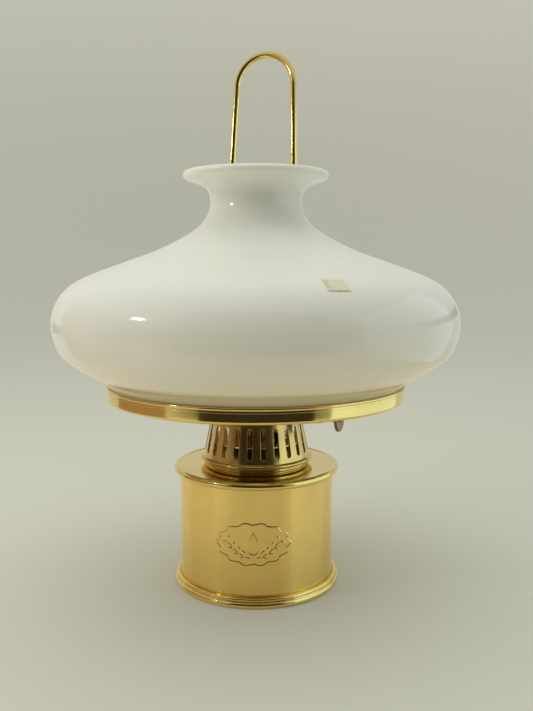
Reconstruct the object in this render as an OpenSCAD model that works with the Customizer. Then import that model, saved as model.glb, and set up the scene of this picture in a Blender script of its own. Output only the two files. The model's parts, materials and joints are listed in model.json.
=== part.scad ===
// Brass oil lamp with an opal glass shade, a round-wick burner and a hanging bail.
// Millimetres. The origin is the centre of the foot on the table, +Z is up and -Y is the front.

/* [Font] */
// Radius of the font's straight wall
font_r = 62.6; // [58:0.1:66]
// Height of the font's top plate above the table
font_h = 97; // [85:1:110]
// Thickness of the brass sheet in the font
font_wall = 1.2; // [0.8:0.1:2]
// Radius of the foot rim
foot_r = 67.8; // [66:0.1:72]
// Height of the foot rim
foot_h = 8.2; // [7:0.1:10]
// Radius of the rolled edge round the top plate
top_bead_r = 3; // [2.4:0.1:3.4]

/* [Collar] */
// Bore of the collar that takes the burner's screw plug
collar_bore_r = 34.5; // [33:0.1:35]
// Radius of the collar's flange
collar_r = 41.2; // [40:0.1:42]
// Running clearance of the screw plug in the collar, on the radius
plug_gap = 0.06; // [0.02:0.01:0.1]
// Thickness of the sealing washer
washer_t = 0.6; // [0.4:0.1:0.8]

/* [Burner] */
// Direction in which the burner's knob points, about the vertical axis
burner_turn = -22.5; // [-180:0.5:180]
// Radius of the basket at the foot of its cone
basket_r = 43; // [42:0.1:44]
// How much the basket's radius shrinks for each millimetre of height
basket_slope = 0.2; // [0.16:0.01:0.24]
// Height of the shoulder that closes the basket
shoulder_z = 148; // [146:0.5:149]
// Number of slots round the basket
slot_count = 24; // [12:1:28]
// Width of a slot
slot_w = 4; // [2:0.1:4.4]
// Height of the lower end of the slots
slot_z0 = 108.5; // [107:0.5:112]
// Height of the upper end of the slots
slot_z1 = 132; // [125:0.5:133]
// Height of the perforated screen inside the basket
screen_z = 117; // [114:0.5:118]

/* [Wick] */
// Mean radius of the round wick
wick_r = 14.5; // [14.3:0.1:14.6]
// Thickness of the wick
wick_t = 2; // [1.6:0.1:2.2]
// Height of the top of the wick tubes
tube_top_z = 170; // [168:0.5:172]
// How far the wick stands above its tubes at rest
wick_show = 1; // [0.5:0.1:2]
// Height of the knob's shaft
shaft_z = 139; // [138:0.5:140]
// Distance of the knob's disc from the lamp's axis
knob_x = 69.1; // [60:0.1:72]
// Radius of the knob's disc
knob_r = 11; // [9:0.1:12]

/* [Gallery and chimney] */
// Height of the gallery's floor, where the chimney stands
gallery_z = 162; // [161:0.5:163]
// Outer radius of the chimney's foot
chimney_r = 26; // [25:0.1:26.1]
// Outer radius of the chimney's tube
chimney_tube_r = 16.5; // [15:0.1:17]
// Height of the chimney's top edge
chimney_top_z = 326; // [300:1:328]
// Thickness of the chimney's glass
chimney_wall = 1.8; // [1.4:0.1:2.2]

/* [Shade] */
// Thickness of the opal glass
glass_t = 2.6; // [2.2:0.1:2.8]
// Outer radius of the brass ring that carries the shade
ring_r = 120.6; // [120.4:0.1:122]
// Height of the ring's lower edge
ring_z = 152.7; // [151:0.1:152.8]
// Height of the ring's band
ring_h = 12.2; // [10:0.1:14]
// Width of an arm
arm_w = 9; // [6:0.5:11]

/* [Bail] */
// Radius of the bail's wire
wire_r = 2.75; // [2:0.05:2.8]
// Height of the bail's hinge
hinge_z = 158; // [156:0.5:159]
// Distance of a bail foot from the lamp's axis
bail_foot_x = 33.3; // [33:0.1:34]
// Radius of the arch at the top of the bail, at the middle of the wire
arch_r = 24.2; // [22:0.1:25]
// Height of the arch's highest point above the hinge, at the middle of the wire
bail_rise = 266.7; // [250:0.1:275]
// Angle at which the bail leans on the neck of the shade
bail_lean = 4.3; // [0:0.1:4.4]

/* [Hidden] */
$fn = 96;

BRASS = [0.80, 0.66, 0.34];
DARK_BRASS = [0.36, 0.28, 0.17];
STEEL = [0.62, 0.62, 0.60];
FIBRE = [0.30, 0.20, 0.14];
COTTON = [0.93, 0.90, 0.82];
CLEAR = [0.85, 0.92, 0.92, 0.4];
OPAL = [0.93, 0.93, 0.90];

// Gap left between pieces that rest on each other but move apart
rest_gap = 0.3;

// Font
font_inner_r = font_r - font_wall;
plate_under = font_h - font_wall;
floor_z = 3;
top_bead_x = font_r + 1.7;
top_bead_z = font_h - top_bead_r + 0.5;
foot_inner_r = font_r - 2.4;
foot_round_r = 2.6;
foot_bead_r = 1.7;
foot_bead_x = 2;

// Collar and screw plug
collar_wall = 1.5;
collar_z0 = 82;
collar_top = font_h + 1.3;
washer_top = collar_top + washer_t;
plug_r = collar_bore_r - plug_gap;
plug_inner_r = plug_r - 2.5;
flange_r = 43.3;
flange_top = 101.8;

// Basket, as the cone's radius at a height
basket_wall = 1;
basket_z0 = flange_top;
cone_z0 = 104.8;
function cone_r(z) = basket_r - basket_slope * (z - cone_z0);
bead_r = 1.45;
bead_x = 44.3;

// Round wick between its two tubes
tube_wall = 0.8;
inner_tube_r = wick_r - wick_t / 2 - 0.4;
outer_tube_r = wick_r + wick_t / 2 + 1.2;
tube_base_r = outer_tube_r + 3.3;
tube_base_z = 142;
tube_neck_z = 150;
burner_floor_t = 1.2;
burner_floor_top = basket_z0 + burner_floor_t;

// Air duct through the tubes, on the side away from the knob
duct_half = 34;
duct_z0 = burner_floor_top + 2;
duct_z1 = 124;
wick_gap_half = 44;
wick_round_z = 137;
wick_tail_z = 96;
wick_low_z = 17;
wick_split = 9;

// Rack and pinion
pinion_r = 4;
pinion_teeth = 10;
tooth_module = 2 * pinion_r / pinion_teeth;
pinion_x0 = 21.5;
pinion_w = 3.6;
rack_x0 = 21.9;
rack_w = 2.8;
rack_back = 2.4;
rack_low = 124.5;
rack_high = 155;
rack_teeth_below = 4;
rack_teeth_above = 5;
tooth_pitch = PI * tooth_module;
tooth_slack = 0.36;
addendum = 0.75 * tooth_module;
dedendum = 1.2 * tooth_module;
pressure_angle = 20;
shaft_r = 2;
shaft_gap = 0.05;
bush_r = 3.6;
bracket_x = 28.2;
bracket_t = 1.4;
bracket_w = 12;

// Openings that clear the rack and its carrier, on the burner's own axes
tube_window_at = [5, -8.4, 110];
tube_window = [20, 5.6, 27.4];
screen_notch_at = [15, -11];
screen_notch = [12, 22];
carrier_arm = [14, -7.6];
carrier_arm_side = 4;

// Knob's knurling
knurl_count = 36;
knurl_r = 0.9;

// Gallery and its spring prongs
prong_count = 12;
prong_gap = chimney_r + 0.35;
prong_t = 0.8;
prong_slot_w = 2.2;
gallery_vent_r = 2.3;
prong_top = gallery_z + 24;
gallery_r = 28.3;

// Hub, arms and ring
arm_count = 4;
hub_r0 = 28.5;
hub_r1 = 34.5;
hub_top = 152.3;
arm_t = 1.8;
arm_top = hub_top + arm_t;
arm_x0 = 29.4;
arm_waist = 4;
arm_waist_r = 43;
arm_x1 = 116;
ring_flange_t = 1.4;
ring_flange_top = arm_top + ring_flange_t;
ring_band_t = 0.8;
ring_fillet = 2.4;
ring_bead = 1.3;
ring_bead_out = 0.6;
ring_groove = 0.12;
ring_groove_at = 2.8;
ring_inner_r = 110;
arm_screw_x = 31.6;
arm_rivet_x = 113.5;
screw_r = 1.2;
rivet_head_t = 0.8;

// Bail
lug_x0 = 29;
lug_t = 2.4;
eye_t = 3;
eye_r = 4.6;
bail_pin_r = 1.95;
pin_gap = 0.05;
arch_z = bail_rise - arch_r;
foot_reach = norm([bail_foot_x, arch_z]);
splay = atan(bail_foot_x / arch_z) - asin(arch_r / foot_reach);
leg_length = sqrt(foot_reach * foot_reach - arch_r * arch_r);
leg_start = 14;
// The wire swells a little where the straight leg runs into the bend
bend_swell = 0.05;

// Outside of the opal glass from its foot to the underside of the lip, as [radius, height]
shade_foot_z = ring_flange_top + rest_gap;
shade_curve = [
    [118.9, shade_foot_z], [118.9, 162.6], [119, 164.4], [119.7, 165.7], [124.1, 170.5], [133.6, 175.5],
    [143.6, 182], [153.8, 191], [158.4, 202], [159.9, 213], [158.2, 224], [152.4, 235], [144, 243.2],
    [130.6, 250.2], [103.3, 260.4], [79, 269.3],
    [59.9, 278.6], [45.2, 288.2], [38.6, 297], [36.3, 305], [36.6, 312.5], [39.6, 317.8],
    [45.5, 321.2], [54.8, 324.4],
];
lip_centre = [54, 327.6];
lip_r = 3.3;
lip_inside = [[43.6, 324.4], [47.6, 328]];

// Smooth curve through a list of points: centripetal Catmull-Rom, with its ends mirrored
function knot(a, b) = sqrt(norm(b - a));
function blend(a, b, ta, tb, t) = a * (tb - t) / (tb - ta) + b * (t - ta) / (tb - ta);
function span_point(p, u) =
    let (t1 = knot(p[0], p[1]),
         t2 = t1 + knot(p[1], p[2]),
         t3 = t2 + knot(p[2], p[3]),
         t = t1 + u * (t2 - t1),
         a1 = blend(p[0], p[1], 0, t1, t),
         a2 = blend(p[1], p[2], t1, t2, t),
         a3 = blend(p[2], p[3], t2, t3, t),
         b1 = blend(a1, a2, 0, t2, t),
         b2 = blend(a2, a3, t1, t3, t))
    blend(b1, b2, t1, t2, t);
function smooth(points, steps) =
    let (n = len(points),
         q = concat([2 * points[0] - points[1]], points, [2 * points[n - 1] - points[n - 2]]))
    concat([for (i = [0:n - 2], k = [0:steps - 1]) span_point([for (j = [0:3]) q[i + j]], k / steps)],
           [points[n - 1]]);
// The same curve moved sideways, towards its left-hand side
function beside(curve, d) =
    let (n = len(curve))
    [for (i = [0:n - 1])
        let (s = curve[min(i + 1, n - 1)] - curve[max(i - 1, 0)])
        curve[i] + d * [-s[1], s[0]] / norm(s)];
function arc(centre, r, a0, a1, steps) =
    [for (i = [0:steps]) let (a = a0 + (a1 - a0) * i / steps) centre + r * [cos(a), sin(a)]];
function reversed(list) = [for (i = [len(list) - 1:-1:0]) list[i]];

// Ring with a square section
module ring(r0, r1, z0, z1) {
    translate([0, 0, z0])
        difference() {
            cylinder(r = r1, h = z1 - z0);
            translate([0, 0, -1])
                cylinder(r = r0, h = z1 - z0 + 2);
        }
}

// Turned piece from a half section
module turned(points) {
    rotate_extrude()
        polygon(points);
}

// Puts a piece where the burner's own +X points along the knob
module on_burner() {
    rotate([0, 0, burner_turn])
        children();
}

// Cylinder along the burner's +X, from x0 to x1 at height z
module along_x(r, x0, x1, z) {
    translate([x0, 0, z])
        rotate([0, 90, 0])
            cylinder(r = r, h = x1 - x0);
}

module font_body() {
    color(BRASS)
        ring(font_inner_r, font_r, floor_z, plate_under);
}

// Foot ring: a thick half-round below and a smaller bead against the font, with a groove between
module base_rim() {
    bead_z = foot_h - foot_bead_r;
    color(BRASS)
        turned(concat(
            [[foot_inner_r, 0], [foot_r - foot_round_r + 0.8, 0]],
            arc([foot_r - foot_round_r, foot_round_r], foot_round_r, -70, 65, 8),
            arc([font_r + foot_bead_x, bead_z], foot_bead_r, -30, 150, 8),
            [[font_r, bead_z + 0.8], [font_r, floor_z], [foot_inner_r, floor_z]]));
}

module base_plate() {
    color(BRASS)
        translate([0, 0, floor_z])
            cylinder(r = font_inner_r, h = font_wall);
}

module top_plate() {
    color(BRASS)
        rotate_extrude()
            difference() {
                union() {
                    translate([collar_bore_r + collar_wall, plate_under])
                        square([font_r - collar_bore_r, font_wall]);
                    translate([top_bead_x, top_bead_z])
                        circle(r = top_bead_r, $fn = 40);
                }
                translate([font_inner_r - 5, top_bead_z - 5])
                    square([font_r - font_inner_r + 5, plate_under - top_bead_z + 5]);
            }
}

module filler_collar() {
    neck_r = collar_bore_r + collar_wall;
    color(BRASS)
        turned([
            [collar_bore_r, collar_z0], [neck_r, collar_z0], [neck_r, font_h],
            [collar_r - 0.4, font_h], [collar_r, font_h + 0.4], [collar_r, collar_top - 0.4],
            [collar_r - 0.4, collar_top], [collar_bore_r, collar_top],
        ]);
}

module collar_washer() {
    color(FIBRE)
        ring(collar_bore_r + 0.2, collar_r - 0.6, collar_top + rest_gap / 6, washer_top - rest_gap / 6);
}

module burner_base() {
    color(BRASS)
        turned([
            [plug_inner_r, collar_z0 + 2], [plug_r - 0.6, collar_z0 + 2], [plug_r, collar_z0 + 2.6],
            [plug_r, washer_top], [flange_r - 0.5, washer_top], [flange_r, washer_top + 0.5],
            [flange_r, flange_top - 0.9], [flange_r - 0.7, flange_top], [plug_inner_r, flange_top],
        ]);
}

module burner_floor() {
    color(BRASS)
        translate([0, 0, basket_z0])
            difference() {
                cylinder(r = basket_r - 2, h = burner_floor_t);
                wick_slot();
            }
}

// Opening in the burner's floor through which the wick comes up out of the font
module wick_slot() {
    on_burner()
        rotate([0, 0, wick_gap_half - 180])
            translate([0, 0, -1])
                rotate_extrude(angle = 360 - 2 * wick_gap_half)
                    translate([inner_tube_r, 0])
                        square([wick_t + 0.8, burner_floor_t + 2]);
}

module burner_basket() {
    top_r = cone_r(shoulder_z - 1);
    color(BRASS)
        difference() {
            turned(concat(
                [[basket_r - 2, basket_z0], [bead_x, basket_z0]],
                arc([bead_x, basket_z0 + bead_r], bead_r, -60, 78, 6),
                [[basket_r + 0.25, cone_z0], [cone_r(cone_z0 + 1.8), cone_z0 + 1.8],
                 [top_r, shoulder_z - 1], [top_r - 0.8, shoulder_z], [gallery_r - 1.2, shoulder_z],
                 [gallery_r - 1.2, shoulder_z - 1], [top_r - basket_wall, shoulder_z - 1],
                 [cone_r(cone_z0 + 1.8) - basket_wall, cone_z0 + 1.8],
                 [basket_r - 2, burner_floor_top]]));
            for (i = [0:slot_count - 1])
                rotate([0, 0, burner_turn + i * 360 / slot_count])
                    basket_slot();
            on_burner()
                along_x(bush_r, 20, 50, shaft_z);
        }
}

// One slot with round ends, cut from the middle outwards
module basket_slot() {
    r = slot_w / 2;
    along_x(r, 30, 50, slot_z0 + r);
    along_x(r, 30, 50, slot_z1 - r);
    translate([30, -r, slot_z0 + r])
        cube([20, slot_w, slot_z1 - slot_z0 - slot_w]);
}

module air_screen() {
    hole_rows = [[25, 24, 1.5], [29.6, 28, 1.6], [34.4, 32, 1.7]];
    color(BRASS)
        difference() {
            ring(tube_base_r + tube_wall, cone_r(screen_z + 1) - basket_wall, screen_z, screen_z + 1);
            for (row = hole_rows, i = [0:row[1] - 1])
                rotate([0, 0, burner_turn + (i + 0.5) * 360 / row[1]])
                    translate([row[0], 0, screen_z - 1])
                        cylinder(r = row[2], h = 3, $fn = 24);
            on_burner()
                translate([screen_notch_at[0], screen_notch_at[1], screen_z - 1])
                    cube([screen_notch[0], screen_notch[1], 3]);
        }
}

module outer_wick_tube() {
    r0 = outer_tube_r;
    r1 = tube_base_r;
    color(BRASS)
        difference() {
            turned([
                [r1, burner_floor_top], [r1 + tube_wall, burner_floor_top], [r1 + tube_wall, tube_base_z],
                [r0 + tube_wall, tube_neck_z], [r0 + tube_wall, tube_top_z], [r0, tube_top_z],
                [r0, tube_neck_z], [r1, tube_base_z],
            ]);
            duct_wedge(r1 - 1, r1 + 2, duct_half, duct_z0, duct_z1);
            on_burner()
                translate(tube_window_at)
                    cube(tube_window);
        }
}

// Sector of a ring on the side away from the knob
module duct_wedge(r0, r1, half, z0, z1) {
    rotate([0, 0, burner_turn + 180 - half])
        rotate_extrude(angle = 2 * half)
            translate([r0, z0])
                square([r1 - r0, z1 - z0]);
}

module inner_wick_tube() {
    r = inner_tube_r;
    color(BRASS)
        difference() {
            union() {
                ring(r - tube_wall, r, burner_floor_top, tube_top_z);
                duct_wedge(r - tube_wall / 2, tube_base_r, duct_half + 4, duct_z0 - 1, duct_z1 + 1);
            }
            duct_wedge(r - 2, tube_base_r + 1, duct_half, duct_z0, duct_z1);
        }
}

module raiser_bracket() {
    color(BRASS)
        on_burner()
            difference() {
                translate([bracket_x, -bracket_w / 2, screen_z + 1])
                    cube([bracket_t, bracket_w, shoulder_z - screen_z - 6]);
                along_x(shaft_r + shaft_gap, bracket_x - 1, bracket_x + bracket_t + 1, shaft_z);
            }
}

module shaft_bush() {
    bush_x = cone_r(shaft_z) - 3;
    color(BRASS)
        on_burner()
            difference() {
                union() {
                    along_x(bush_r, bush_x, bush_x + 6, shaft_z);
                    along_x(bush_r + 0.9, bush_x + 4.2, bush_x + 5.4, shaft_z);
                }
                along_x(shaft_r + shaft_gap, bush_x - 1, bush_x + 7, shaft_z);
            }
}

module gallery() {
    skirt_r = gallery_r - 0.9;
    color(BRASS)
        difference() {
            turned([
                [skirt_r, shoulder_z], [gallery_r, shoulder_z], [gallery_r, gallery_z + 1],
                [prong_gap + prong_t + 0.5, gallery_z + 8], [prong_gap + prong_t, prong_top - 5],
                [prong_gap + prong_t + 1.2, prong_top], [prong_gap + 1.3, prong_top],
                [prong_gap, prong_top - 5], [prong_gap + 0.5, gallery_z + 8],
                [prong_gap + 0.2, gallery_z + 1], [outer_tube_r + tube_wall + 3, gallery_z + 1],
                [outer_tube_r + tube_wall + 3, gallery_z], [skirt_r, gallery_z],
            ]);
            for (i = [0:prong_count - 1])
                rotate([0, 0, burner_turn + (i + 0.5) * 360 / prong_count]) {
                    translate([20, -prong_slot_w / 2, gallery_z + 4])
                        cube([15, prong_slot_w, 30]);
                    along_x(gallery_vent_r, 24, 32, hub_top + 6);
                }
        }
}

module carrier_hub() {
    color(BRASS)
        on_burner()
            difference() {
                union() {
                    ring(hub_r0, hub_r1, shoulder_z, hub_top);
                    for (side = [0, 180])
                        rotate([0, 0, side])
                            hub_lug();
                }
                for (side = [0, 180])
                    rotate([0, 0, side])
                        along_x(bail_pin_r, lug_x0 - 1, lug_x0 + lug_t + 1, hinge_z);
                for (i = [0:arm_count - 1])
                    rotate([0, 0, 45 + i * 90])
                        translate([arm_screw_x, 0, shoulder_z - 1])
                            cylinder(r = screw_r, h = 6, $fn = 32);
            }
}

// Ear of the hub that carries one foot of the bail
module hub_lug() {
    along_x(eye_r, lug_x0, lug_x0 + lug_t, hinge_z);
    translate([lug_x0, -eye_r, shoulder_z])
        cube([lug_t, 2 * eye_r, hinge_z - shoulder_z]);
}

// One arm from the hub to the ring; the arms are numbered counter-clockwise from the knob
module shade_arm(i) {
    color(BRASS)
        rotate([0, 0, burner_turn + 45 + i * 360 / arm_count])
            difference() {
                translate([arm_x0, -arm_w / 2, hub_top])
                    cube([arm_x1 - arm_x0, arm_w, arm_t]);
                for (x = [arm_screw_x, arm_rivet_x])
                    translate([x, 0, hub_top - 1])
                        cylinder(r = screw_r, h = arm_t + 2, $fn = 32);
                for (side = [-1, 1])
                    translate([(arm_x0 + arm_x1) / 2, side * (arm_waist_r + arm_waist / 2), hub_top - 1])
                        cylinder(r = arm_waist_r, h = arm_t + 2);
            }
}

module arm_screws() {
    color(STEEL)
        for (i = [0:arm_count - 1])
            rotate([0, 0, burner_turn + 45 + i * 360 / arm_count])
                translate([arm_screw_x, 0, 0])
                    difference() {
                        union() {
                            translate([0, 0, shoulder_z])
                                cylinder(r = screw_r, h = arm_top - shoulder_z, $fn = 32);
                            translate([0, 0, arm_top])
                                cylinder(r = 2.1, h = 1.3, $fn = 32);
                        }
                        translate([-3, -0.3, arm_top + 0.7])
                            cube([6, 0.6, 1]);
                    }
}

module arm_rivets() {
    color(BRASS)
        for (i = [0:arm_count - 1])
            rotate([0, 0, burner_turn + 45 + i * 360 / arm_count])
                translate([arm_rivet_x, 0, 0]) {
                    translate([0, 0, hub_top])
                        cylinder(r = screw_r, h = ring_flange_top - hub_top, $fn = 32);
                    translate([0, 0, hub_top - rivet_head_t])
                        cylinder(r1 = 1.6, r2 = 2.2, h = rivet_head_t, $fn = 32);
                }
}

// Channel that carries the glass: a flat flange, a rounded lower edge, a band with a fine groove and
// a small bead along its top
module shade_ring() {
    band_r = ring_r - ring_bead_out;
    fillet_x = band_r - ring_fillet;
    bead_z = ring_z + ring_h - ring_bead;
    color(BRASS)
        difference() {
            turned(concat(
                [[ring_inner_r, arm_top], [fillet_x - 0.6, arm_top]],
                arc([fillet_x, ring_z + ring_fillet], ring_fillet, -90, 0, 6),
                [for (d = [[0, -1], [-1, 0], [0, 1]]) [band_r, bead_z - ring_groove_at] + ring_groove * d],
                arc([ring_r - ring_bead, bead_z], ring_bead, -60, 90, 6),
                [[band_r - ring_band_t, ring_z + ring_h], [band_r - ring_band_t, ring_flange_top],
                 [ring_inner_r, ring_flange_top]]));
            for (i = [0:arm_count - 1])
                rotate([0, 0, burner_turn + 45 + i * 360 / arm_count])
                    translate([arm_rivet_x, 0, arm_top - 1])
                        cylinder(r = screw_r, h = ring_flange_t + 2, $fn = 32);
        }
}

module bail_screws() {
    eye_x1 = bail_foot_x + eye_t / 2;
    color(STEEL)
        on_burner()
            for (side = [0, 180])
                rotate([0, 0, side])
                    difference() {
                        union() {
                            along_x(bail_pin_r, lug_x0, eye_x1 + rest_gap, hinge_z);
                            along_x(3.4, eye_x1 + rest_gap, eye_x1 + rest_gap + 1.8, hinge_z);
                        }
                        translate([eye_x1 + rest_gap + 1, -4, hinge_z - 0.4])
                            cube([2, 8, 0.8]);
                    }
}

module raiser_shaft() {
    color(STEEL)
        on_burner()
            along_x(shaft_r, pinion_x0 - 0.4, knob_x + 3.2, shaft_z);
}

// Half angle of a pinion tooth at radius r, from the involute of its base circle
function involute(r) =
    let (base_r = pinion_r * cos(pressure_angle), a = acos(min(1, base_r / r)))
    tan(a) * 180 / PI - a;
function tooth_half(r) =
    (90 - tooth_slack * 90 / (pinion_r * PI)) / pinion_teeth + involute(pinion_r) - involute(r);

module raiser_pinion() {
    radii = [pinion_r - dedendum + 0.1, pinion_r - 0.3, pinion_r, pinion_r + addendum * 0.5, pinion_r + addendum];
    color(STEEL)
        on_burner()
            translate([pinion_x0, 0, shaft_z])
                rotate([90, 0, 90])
                    difference() {
                        linear_extrude(height = pinion_w)
                            polygon([for (i = [0:pinion_teeth - 1], side = [-1, 1], k = [0:4])
                                let (r = radii[side < 0 ? k : 4 - k],
                                     a = 180 + i * 360 / pinion_teeth + side * tooth_half(r))
                                r * [cos(a), sin(a)]]);
                        translate([0, 0, -1])
                            cylinder(r = shaft_r, h = pinion_w + 2);
                    }
}

module raiser_knob() {
    color(DARK_BRASS)
        on_burner()
            translate([knob_x, 0, shaft_z])
                rotate([0, 90, 0])
                    difference() {
                        rotate_extrude()
                            polygon([
                                [0, -3.4], [3.6, -3.4], [4.2, -2.8], [4.2, -0.4], [knob_r - 0.5, 0],
                                [knob_r, 0.5], [knob_r, 2], [knob_r - 0.5, 2.5], [4.6, 2.1],
                                [4, 1.9], [0, 1.9],
                            ]);
                        translate([0, 0, -4])
                            cylinder(r = shaft_r, h = 8);
                        for (i = [0:knurl_count - 1])
                            rotate([0, 0, i * 360 / knurl_count])
                                translate([knob_r + 0.55, 0, -1])
                                    cylinder(r = knurl_r, h = 5, $fn = 16);
                    }
}

module knob_nut() {
    color(BRASS)
        on_burner()
            translate([knob_x + 1.9, 0, shaft_z])
                rotate([0, 90, 0])
                    difference() {
                        rotate_extrude()
                            polygon([[0, 0], [3.6, 0], [3.6, 0.8], [2.9, 1.7], [0, 1.9]]);
                        translate([0, 0, -1])
                            cylinder(r = shaft_r, h = 2.3);
                    }
}

module wick() {
    r0 = wick_r - wick_t / 2;
    r1 = wick_r + wick_t / 2;
    color(COTTON)
        difference() {
            ring(r0, r1, wick_low_z, tube_top_z + wick_show);
            duct_wedge(r0 - 2, r1 + 2, wick_gap_half, wick_low_z - 1, wick_round_z);
            on_burner()
                translate([0, -wick_split / 2, wick_low_z - 1])
                    cube([r1 + 2, wick_split, wick_tail_z - wick_low_z + 1]);
        }
}

module wick_carrier() {
    r = wick_r + wick_t / 2;
    color(BRASS)
        on_burner()
            difference() {
                union() {
                    rotate([0, 0, wick_gap_half - 180])
                        rotate_extrude(angle = 360 - 2 * wick_gap_half)
                            translate([r, rack_low - 2])
                                square([0.7, 8]);
                    translate([carrier_arm[0], carrier_arm[1], rack_low])
                        cube([rack_x0 - carrier_arm[0], carrier_arm_side, carrier_arm_side]);
                }
                translate([0, 0, rack_low - 3])
                    cylinder(r = r, h = 20);
            }
}

// The rack stands beside the pinion, with its teeth facing the pinion's axis
module wick_rack() {
    root = -pinion_r - dedendum;
    crest = -pinion_r + addendum;
    root_half = tooth_pitch / 4 + dedendum * tan(pressure_angle) - tooth_slack / 4;
    crest_half = tooth_pitch / 4 - addendum * tan(pressure_angle) - tooth_slack / 4;
    color(BRASS)
        on_burner()
            translate([rack_x0, 0, 0])
                rotate([90, 0, 90])
                    linear_extrude(height = rack_w) {
                        translate([root - rack_back, rack_low])
                            square([rack_back + 0.01, rack_high - rack_low]);
                        for (i = [-rack_teeth_below:rack_teeth_above])
                            translate([0, shaft_z + (i + 0.5) * tooth_pitch])
                                polygon([
                                    [root, -root_half], [crest, -crest_half],
                                    [crest, crest_half], [root, root_half],
                                ]);
                    }
}

module chimney() {
    z0 = gallery_z + 1 + rest_gap;
    outside = concat([[chimney_r, z0]], smooth([
        [chimney_r, z0 + 23], [chimney_r - 0.7, z0 + 28], [chimney_r - 4, z0 + 34],
        [chimney_tube_r + 0.8, z0 + 40], [chimney_tube_r - 0.8, z0 + 46],
        [chimney_tube_r - 0.3, z0 + 54], [chimney_tube_r, z0 + 66],
    ], 4), [[chimney_tube_r, chimney_top_z]]);
    color(CLEAR)
        turned(concat(outside, reversed(beside(outside, chimney_wall))));
}

module glass_shade() {
    outside = smooth(shade_curve, 4);
    inside = beside(outside, glass_t);
    color(OPAL)
        turned(concat(
            outside,
            arc(lip_centre, lip_r, -60, 120, 9),
            reversed(lip_inside),
            reversed([for (i = [0:len(inside) - 9]) inside[i]])));
}

module bail() {
    color(BRASS)
        on_burner()
            translate([0, 0, hinge_z])
                rotate([-bail_lean, 0, 0]) {
                    translate([0, 0, arch_z])
                        rotate([90, 0, 0])
                            rotate([0, 0, splay])
                                rotate_extrude(angle = 180 - 2 * splay)
                                    translate([arch_r, 0])
                                        circle(r = wire_r, $fn = 40);
                    for (side = [0, 180])
                        rotate([0, 0, side])
                            bail_leg();
                }
}

// One leg of the bail with its flattened eye, from the hinge upwards
module bail_leg() {
    translate([bail_foot_x, 0, 0])
        rotate([0, -splay, 0]) {
            translate([0, 0, leg_start])
                cylinder(r = wire_r, h = leg_length - leg_start, $fn = 40);
            translate([0, 0, leg_length])
                sphere(r = wire_r + bend_swell, $fn = 40);
        }
    difference() {
        union() {
            along_x(eye_r, bail_foot_x - eye_t / 2, bail_foot_x + eye_t / 2, 0);
            translate([bail_foot_x - eye_t / 2, -wire_r, 0])
                cube([eye_t, 2 * wire_r, leg_start + 2]);
        }
        along_x(bail_pin_r + pin_gap, bail_foot_x - 3, bail_foot_x + 3, 0);
    }
}

font_body();
base_rim();
base_plate();
top_plate();
filler_collar();
collar_washer();
burner_base();
burner_floor();
burner_basket();
air_screen();
outer_wick_tube();
inner_wick_tube();
raiser_bracket();
shaft_bush();
gallery();
carrier_hub();
shade_arm(0);  // shade_arm_1
shade_arm(1);  // shade_arm_2
shade_arm(2);  // shade_arm_3
shade_arm(3);  // shade_arm_4
arm_screws();
arm_rivets();
shade_ring();
bail_screws();
raiser_shaft();
raiser_pinion();
raiser_knob();
knob_nut();
wick();
wick_carrier();
wick_rack();
chimney();
glass_shade();
bail();
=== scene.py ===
"""Brass oil lamp with an opal glass shade: finished surfaces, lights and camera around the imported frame.

Metres. The origin is the centre of the foot on the table, +Z is up and -Y is the front.
"""

import json
import math

import bmesh
import bpy
import numpy as np
from mathutils import Matrix, Vector

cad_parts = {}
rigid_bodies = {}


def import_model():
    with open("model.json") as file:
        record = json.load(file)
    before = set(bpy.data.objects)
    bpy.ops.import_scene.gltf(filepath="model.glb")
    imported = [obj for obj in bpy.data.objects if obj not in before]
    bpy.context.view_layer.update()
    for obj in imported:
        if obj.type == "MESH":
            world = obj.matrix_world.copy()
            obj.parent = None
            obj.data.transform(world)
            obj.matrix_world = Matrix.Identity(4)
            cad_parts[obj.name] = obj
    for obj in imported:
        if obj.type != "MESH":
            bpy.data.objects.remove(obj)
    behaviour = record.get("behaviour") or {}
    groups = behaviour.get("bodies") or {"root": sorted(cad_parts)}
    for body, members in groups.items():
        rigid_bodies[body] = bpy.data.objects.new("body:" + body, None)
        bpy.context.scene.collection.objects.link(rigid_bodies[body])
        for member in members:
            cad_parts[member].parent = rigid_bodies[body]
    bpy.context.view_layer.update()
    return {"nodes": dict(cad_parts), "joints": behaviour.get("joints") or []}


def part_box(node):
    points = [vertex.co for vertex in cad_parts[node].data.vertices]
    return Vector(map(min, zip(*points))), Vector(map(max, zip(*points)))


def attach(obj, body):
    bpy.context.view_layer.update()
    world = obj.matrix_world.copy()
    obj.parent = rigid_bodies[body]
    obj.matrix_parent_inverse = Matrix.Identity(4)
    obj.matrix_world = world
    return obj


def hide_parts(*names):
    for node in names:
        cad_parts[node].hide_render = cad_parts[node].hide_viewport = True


for leftover in list(bpy.data.objects):
    bpy.data.objects.remove(leftover, do_unlink=True)
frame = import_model()

MM = 0.001
BURNER_TURN = -22.5  # degrees from the right, where the knob points
SHARP = 0.45  # radians, the least turn in an outline that counts as a corner


# ---------------------------------------------------------------- mesh building

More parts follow.
